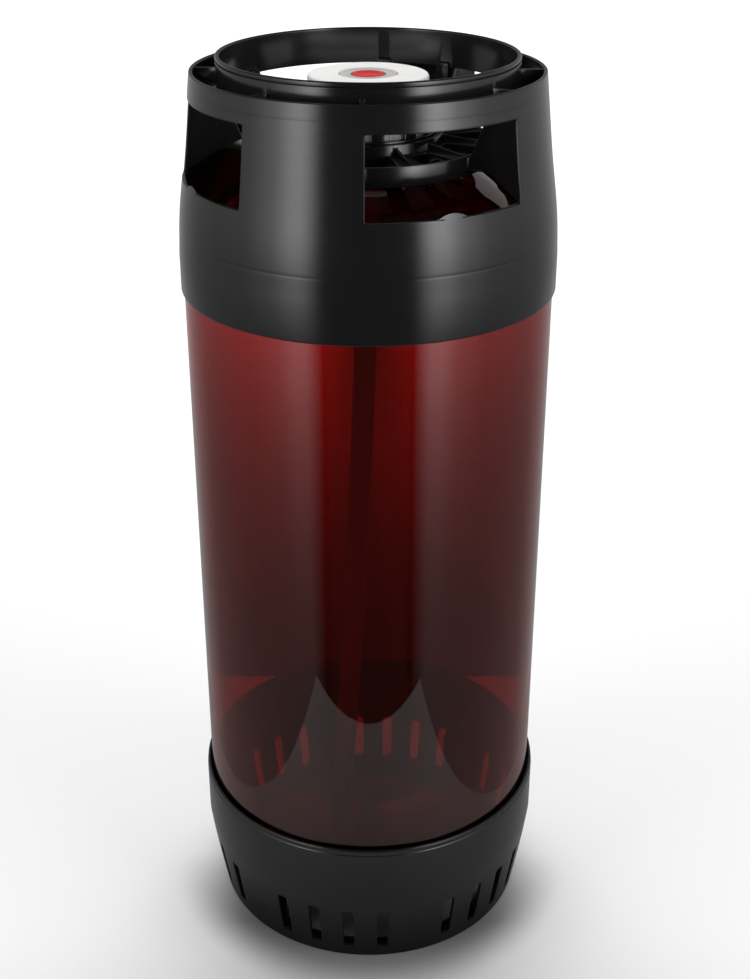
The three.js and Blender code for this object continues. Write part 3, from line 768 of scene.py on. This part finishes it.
def make_spring_seat():
    seat = solid("spring_seat_ring", revolve, fillet([
        (17.2, 540.0, 0.3), (22.1, 540.0, 0.3), (22.1, 543.3, 0.3), (17.2, 543.3, 0.3),
    ]), SMALL_ROUND, 0.0)
    combine(seat, solid("ports", seat_ports), "DIFFERENCE")
    soften(seat, 0.12)
    place(seat, "spring_seat")


def make_neck_gasket():
    place_turned("neck_gasket_ring", "neck_gasket", [
        (25.9, 569.3, 0.2), (30.0, 569.3, 0.2), (30.0, 570.3, 0.2), (25.9, 570.3, 0.2),
    ])


def make_gas_valve():
    place_turned("gas_seal", "gas_seal_ring", [
        (10.6, 579.5, 0.3), (20.8, 579.5, 0.4), (20.8, 582.9, 0.4), (17.3, 582.9, 0.3),
        (17.3, 590.2, 0.5), (15.6, 590.2, 0.2), (15.4, 589.9, 0.1), (12.6, 589.9, 0.1),
        (12.4, 590.2, 0.2), (10.6, 590.2, 0.5),
    ])
    place_turned("gas_piston_tube", "gas_piston", [
        (12.5, 538.5, 0.3), (16.8, 538.5, 0.6), (16.8, 575.8, 0.4), (20.8, 575.8, 0.4),
        (20.8, 579.2, 0.3), (14.4, 579.2, 0.4), (14.4, 540.7), (12.5, 540.7, 0.2),
    ])
    place_turned("tube_adapter", "dip_tube_adapter", [
        (3.8, 508, 0.2), (4.6, 508, 0.2), (5.2, 511, 0.2), (5.0, 511.6, 0.1), (5.2, 515, 0.2),
        (5.0, 515.6, 0.1), (5.2, 519, 0.2), (5.0, 519.6, 0.1), (5.2, 523), (5.2, 541),
        (14.1, 541, 0.3), (14.1, 544.8, 0.3), (3.8, 544.8, 0.8),
    ])


def tube_point(z):
    """The tube is straight below its adapter and then leans away in a slow curve."""
    below = max(0, TUBE_BEND - z) / (TUBE_BEND - TUBE_Z[0])
    return polar(TUBE_LEAN * below ** 1.5, TUBE_AZIMUTH, z)


def pipe(bm):
    steps = 90
    sides = 40
    heights = [TUBE_Z[0] + (TUBE_Z[1] - TUBE_Z[0]) * k / steps for k in range(steps + 1)]
    across = polar(1, TUBE_AZIMUTH + 90, 0).normalized()
    rings = []
    for radius in TUBE_R:
        walls = []
        for z in heights:
            along = (tube_point(z + 0.5) - tube_point(z - 0.5)).normalized()
            out = across.cross(along)
            around = [TAU * k / sides for k in range(sides)]
            spokes = [across * math.cos(angle) + out * math.sin(angle) for angle in around]
            walls.append([bm.verts.new(tube_point(z) + spoke * radius * MM) for spoke in spokes])
        rings.append(walls)
    inner, outer = rings
    for here, there in zip(outer + inner[::-1], outer[1:] + inner[::-1] + outer[:1]):
        for k in range(sides):
            n = (k + 1) % sides
            bm.faces.new((here[k], here[n], there[n], there[k]))


def make_dip_tube():
    obj = solid("dip_tube_pipe", pipe)
    smooth(obj)
    place(obj, "dip_tube")


def core_fins(bm):
    """Four fins that keep the plunger centred in its spring."""
    for n in range(4):
        plate(bm, [(2, 553), (6.8, 557), (6.8, 575), (2, 575)], 1.6, 45 + 90 * n)


def make_core():
    place_turned("core_button_head", "core_button", [
        (4.3, 584.0), (10.2, 584.0, 0.3), (10.2, 590.5, 0.7), (7.9, 590.5, 0.5), (6.6, 589.6, 0.8),
        (0, 589.4), (0, 587.2), (4.3, 587.2),
    ])
    stem = solid("core_plunger_stem", revolve, fillet([
        (0, 552), (3, 552, 0.8), (3, 574.5, 0.8), (13.6, 574.5, 0.4), (13.6, 577.4, 0.4),
        (8.4, 577.4, 0.3), (8.4, 583.7, 0.3), (4, 583.7, 0.2), (4, 586.9, 0.6), (0, 586.9),
    ]), SMALL_ROUND, 0.0)
    combine(stem, solid("fins", core_fins), "UNION")
    soften(stem, 0.1)
    place(stem, "core_plunger")


def make_o_ring():
    middle_r, middle_z, section_r, sides = 11.9, 578.5, 0.8, 16
    around = [TAU * k / sides for k in range(sides)]
    section = [(middle_r + section_r * math.cos(a), middle_z + section_r * math.sin(a)) for a in around]
    ring = solid("core_seal", revolve, section, SMALL_ROUND, 0.0)
    smooth(ring)
    place(ring, "core_o_ring")


def make_spring(name, node, radius, wire, low, high, turns):
    """A coil between its seats, on a mesh of its own."""
    obj = solid(name, helix_tube, radius, wire, low + wire, high - wire, turns)
    smooth(obj)
    place(obj, node)
    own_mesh(obj)


def make_springs():
    make_spring("gas_return_spring", "gas_spring", 19.3, 0.9, 543.6, 575.5, 5)
    make_spring("core_return_spring", "core_spring", 10.0, 0.6, 545.1, 574.2, 6)


# ------------------------------------------------------------------ stage, lights, camera
VIEW_TURN = -24.75  # degrees
CAMERA_PLACE = (-0.3728, -0.8184, 0.7627)
CAMERA_PITCH = 26.55
CAMERA_LENS = 54.45
TABLE_X = (-0.243, 0.233)
TABLE_Y = (-0.40, 0.233)
FLOOR_HALF = 9
PANEL_Y = 0.24
PANEL_HALF = 0.25
PANEL_TOP = 0.50
TENT_R = 1200  # millimetres
TENT_Z = (-900, 1300)
TENT_GAP = 24  # degrees from the camera's side to each wall's near edge
LAMPS_AIM = 0.3


def pale_paper():
    """Painted shadow in front of the foot, where the keg's shadow falls with the light from behind, and
    painted shade on the table as seen in reflections.
    """
    g = Graph("pale_paper")
    x, y, _ = g.split(g.position())
    away = g.math("SQRT", g.math("ADD", g.math("MULTIPLY", x, x), g.math("MULTIPLY", y, y)))
    near = g.smoothstep(away, 0.112, 0.152, 1.0, 0.0)
    # painted shadow: the table is coloured darker just in front of the foot, for the keg's shadow
    painted_shadow = g.math("MULTIPLY", near, g.remap(y, -0.075, 0.0, 1.0, 0.0))
    colour = g.mix_colour(painted_shadow, (0.87, 0.87, 0.872, 1), (0.25, 0.25, 0.252, 1))
    path = g.add("ShaderNodeLightPath").outputs
    mirrored = g.math("GREATER_THAN", path["Is Glossy Ray"], path["Is Transmission Ray"])
    # painted shade: in reflections the table is coloured darker, most towards the front
    painted_reflection_shade = g.math("MULTIPLY", mirrored, g.remap(y, -0.26, -0.10, 0.42, 0.72))
    colour = g.mix_colour(painted_reflection_shade, colour, (0, 0, 0, 1))
    return g.finish(principled(g, Base_Color=colour, Roughness=0.8))


def glow(g, strength):
    return g.finish(g.add("ShaderNodeEmission", Color=(1, 1, 1, 1), Strength=strength).outputs[0])


def exponential(g, value, start, rate):
    """start * e^(rate * value), for light that fades downwards."""
    return g.math("MULTIPLY", g.math("POWER", math.e, g.math("MULTIPLY", value, rate)), start)


def levels(g, value, stops):
    """A grey level for each value, straight between the (value, level) stops."""
    ramp = g.add("ShaderNodeValToRGB", Fac=value)
    elements = ramp.color_ramp.elements
    elements[0].position, elements[1].position = stops[0][0], stops[-1][0]
    for at, _ in stops[1:-1]:
        elements.new(at)
    for element, (_, level) in zip(elements, stops):
        element.color = (level, level, level, 1)
    return ramp.outputs["Color"]


def side_glow():
    """The tent's side walls: brightest beside the gap for the camera, fading outwards and down."""
    g = Graph("side_glow")
    x, y, z = g.split(g.position())
    share = g.math("DIVIDE", g.math("ABSOLUTE", g.azimuth(x, y)), math.pi)
    level = levels(g, share, [
        (0.145, 0), (0.205, 1), (0.24, 1), (0.30, 0.42), (0.40, 0.14), (0.53, 0.08), (1.0, 0.02),
    ])
    below_table = g.math("MULTIPLY", g.math("MINIMUM", z, 0.0), 0.85)
    fade = g.math("ADD", g.math("MINIMUM", z, 0.5), below_table)
    lamp = g.math("MULTIPLY", level, exponential(g, fade, 0.85, 3.4))
    right = g.math("GREATER_THAN", x, 0.0)
    lamp = g.math("MULTIPLY", lamp, g.remap(right, 0, 1, 1.0, 1.25))
    base = g.remap(share, 0.150, 0.20, 0, 1)
    for dimmer in (
        g.remap(share, 0.65, 0.85, 0.18, 0.36),
        g.remap(z, 0.5, 0.8, 1.0, 0.3),
        g.remap(share, 0.86, 0.96, 1.0, 0.4),
    ):
        base = g.math("MULTIPLY", base, dimmer)
    return glow(g, g.math("ADD", lamp, base))


def back_glow():
    """The tent's back wall as it shows through the bottle: dim in the middle and low down."""
    g = Graph("back_glow")
    x, _, z = g.split(g.position())
    side = exponential(g, z, 0.14, 9.0)
    middle = g.math("MINIMUM", g.math("MULTIPLY", side, 0.60), 0.7)
    off_centre = g.math("ABSOLUTE", x)
    blend = g.smoothstep(off_centre, 0.004, 0.056, 0.0, 1.0)
    outer = g.remap(off_centre, 0.06, 0.15, 1.0, 0.50)
    tilt = g.math("MULTIPLY", g.math("MULTIPLY", side, outer), g.remap(x, -0.10, 0.10, 1.0, 0.70))
    rest = g.math("MULTIPLY", middle, g.math("SUBTRACT", 1.0, blend))
    return glow(g, g.math("ADD", g.math("MULTIPLY", tilt, blend), rest))


def seen_only_by(obj, glossy=False, transmission=False):
    """Hides a glowing sheet from everything but one kind of ray."""
    obj.visible_camera = False
    obj.visible_diffuse = False
    obj.visible_shadow = False
    obj.visible_glossy = glossy
    obj.visible_transmission = transmission


def stage_sheet(name, corners, material):
    """A sheet turned to the camera: x is to the camera's right and y is away from it."""
    bm = bmesh.new()
    bm.faces.new([bm.verts.new(corner) for corner in corners])
    obj = new_object(name, bm)
    return dress(obj, material)


def dress(obj, material):
    obj.rotation_euler = (0, 0, math.radians(VIEW_TURN))
    obj.data.materials.append(material)
    return obj


def flat(x_range, y_range, z):
    (x0, x1), (y0, y1) = x_range, y_range
    return [(x0, y0, z), (x1, y0, z), (x1, y1, z), (x0, y1, z)]


def tent_wall(side):
    """A round upright sheet, from the gap for the camera to right behind the keg."""
    steps = 40
    angles = [side * (TENT_GAP + (180 - TENT_GAP) * k / steps) for k in range(steps + 1)]
    bm = bmesh.new()
    low, high = ([bm.verts.new(polar(TENT_R, a, z)) for a in angles] for z in TENT_Z)
    for k in range(steps):
        bm.faces.new((low[k], low[k + 1], high[k + 1], high[k]))
    wall = dress(new_object("tent_wall_left" if side < 0 else "tent_wall_right", bm), side_glow())
    seen_only_by(wall, glossy=True)


def make_stage():
    pale = pale_paper()
    stage_sheet("table_top", flat(TABLE_X, TABLE_Y, 0.0), pale)
    everywhere = (-FLOOR_HALF, FLOOR_HALF)
    far = stage_sheet("pale_floor", flat(everywhere, everywhere, -0.0005), pale)
    far.visible_glossy = False
    panel = stage_sheet("back_panel", [
        (-PANEL_HALF, PANEL_Y, 0.002), (PANEL_HALF, PANEL_Y, 0.002),
        (PANEL_HALF, PANEL_Y, PANEL_TOP), (-PANEL_HALF, PANEL_Y, PANEL_TOP),
    ], back_glow())
    seen_only_by(panel, transmission=True)
    for side in (-1, 1):
        tent_wall(side)


def area_light(name, azimuth, distance, height, width, tall, power):
    """A softbox that faces the keg; the azimuth is counted from the camera's side to its right."""
    data = bpy.data.lights.new(name, "AREA")
    data.shape = "RECTANGLE"
    data.size = width
    data.size_y = tall
    data.energy = power
    obj = bpy.data.objects.new(name, data)
    scene.collection.objects.link(obj)
    obj.location = polar(distance / MM, VIEW_TURN + azimuth, height / MM)
    towards = Vector((0, 0, LAMPS_AIM)) - obj.location
    obj.rotation_euler = towards.to_track_quat("-Z", "Y").to_euler()
    obj.visible_camera = False
    obj.visible_transmission = False
    obj.visible_glossy = False
    return obj


def make_lights():
    area_light("softbox_left", -60, 1.5, 1.1, 1.0, 1.2, 8)
    area_light("softbox_right", 60, 1.5, 1.1, 1.0, 1.2, 9)
    area_light("softbox_top", 180, 1.0, 2.0, 1.6, 1.6, 28)
    backdrop = area_light("backdrop_light", 180, 3.6, 2.4, 5.0, 3.0, 150)
    backdrop.rotation_euler = (0, 0, math.radians(VIEW_TURN))


def make_world():
    """Bright for the camera and through glass, dim for reflections and soft light."""
    world = bpy.data.worlds.new("studio")
    scene.world = world
    world.use_nodes = True
    tree = world.node_tree
    tree.nodes.clear()
    path = tree.nodes.new("ShaderNodeLightPath")
    strengths = {"open": 0.9, "glossy": 0.02, "diffuse": 0.2}
    layers = {}
    for name, strength in strengths.items():
        layers[name] = tree.nodes.new("ShaderNodeBackground")
        layers[name].inputs["Strength"].default_value = strength
        layers[name].inputs["Color"].default_value = (1, 1, 1, 1)
    shown = layers["open"].outputs[0]
    for ray, name in (("Is Diffuse Ray", "diffuse"), ("Is Glossy Ray", "glossy")):
        mix = tree.nodes.new("ShaderNodeMixShader")
        tree.links.new(path.outputs[ray], mix.inputs[0])
        tree.links.new(shown, mix.inputs[1])
        tree.links.new(layers[name].outputs[0], mix.inputs[2])
        shown = mix.outputs[0]
    output = tree.nodes.new("ShaderNodeOutputWorld")
    tree.links.new(shown, output.inputs["Surface"])


def make_camera():
    """Looks down at the keg from its front left."""
    data = bpy.data.cameras.new("camera")
    data.lens = CAMERA_LENS
    data.sensor_width = 36
    data.sensor_fit = "AUTO"
    data.dof.use_dof = False
    obj = bpy.data.objects.new("camera", data)
    scene.collection.objects.link(obj)
    obj.location = CAMERA_PLACE
    obj.rotation_euler = (math.radians(90 - CAMERA_PITCH), 0, math.radians(VIEW_TURN))
    scene.camera = obj


# ------------------------------------------------------------------ everything
make_camera()
make_stage()
make_lights()
make_world()
scene.view_settings.view_transform = "Standard"

make_bottle()
make_handle_ring()
make_neck_clip()
make_base_cup()
make_closure()
make_valve_body()
make_spring_seat()
make_neck_gasket()
make_gas_valve()
make_dip_tube()
make_core()
make_o_ring()
make_springs()
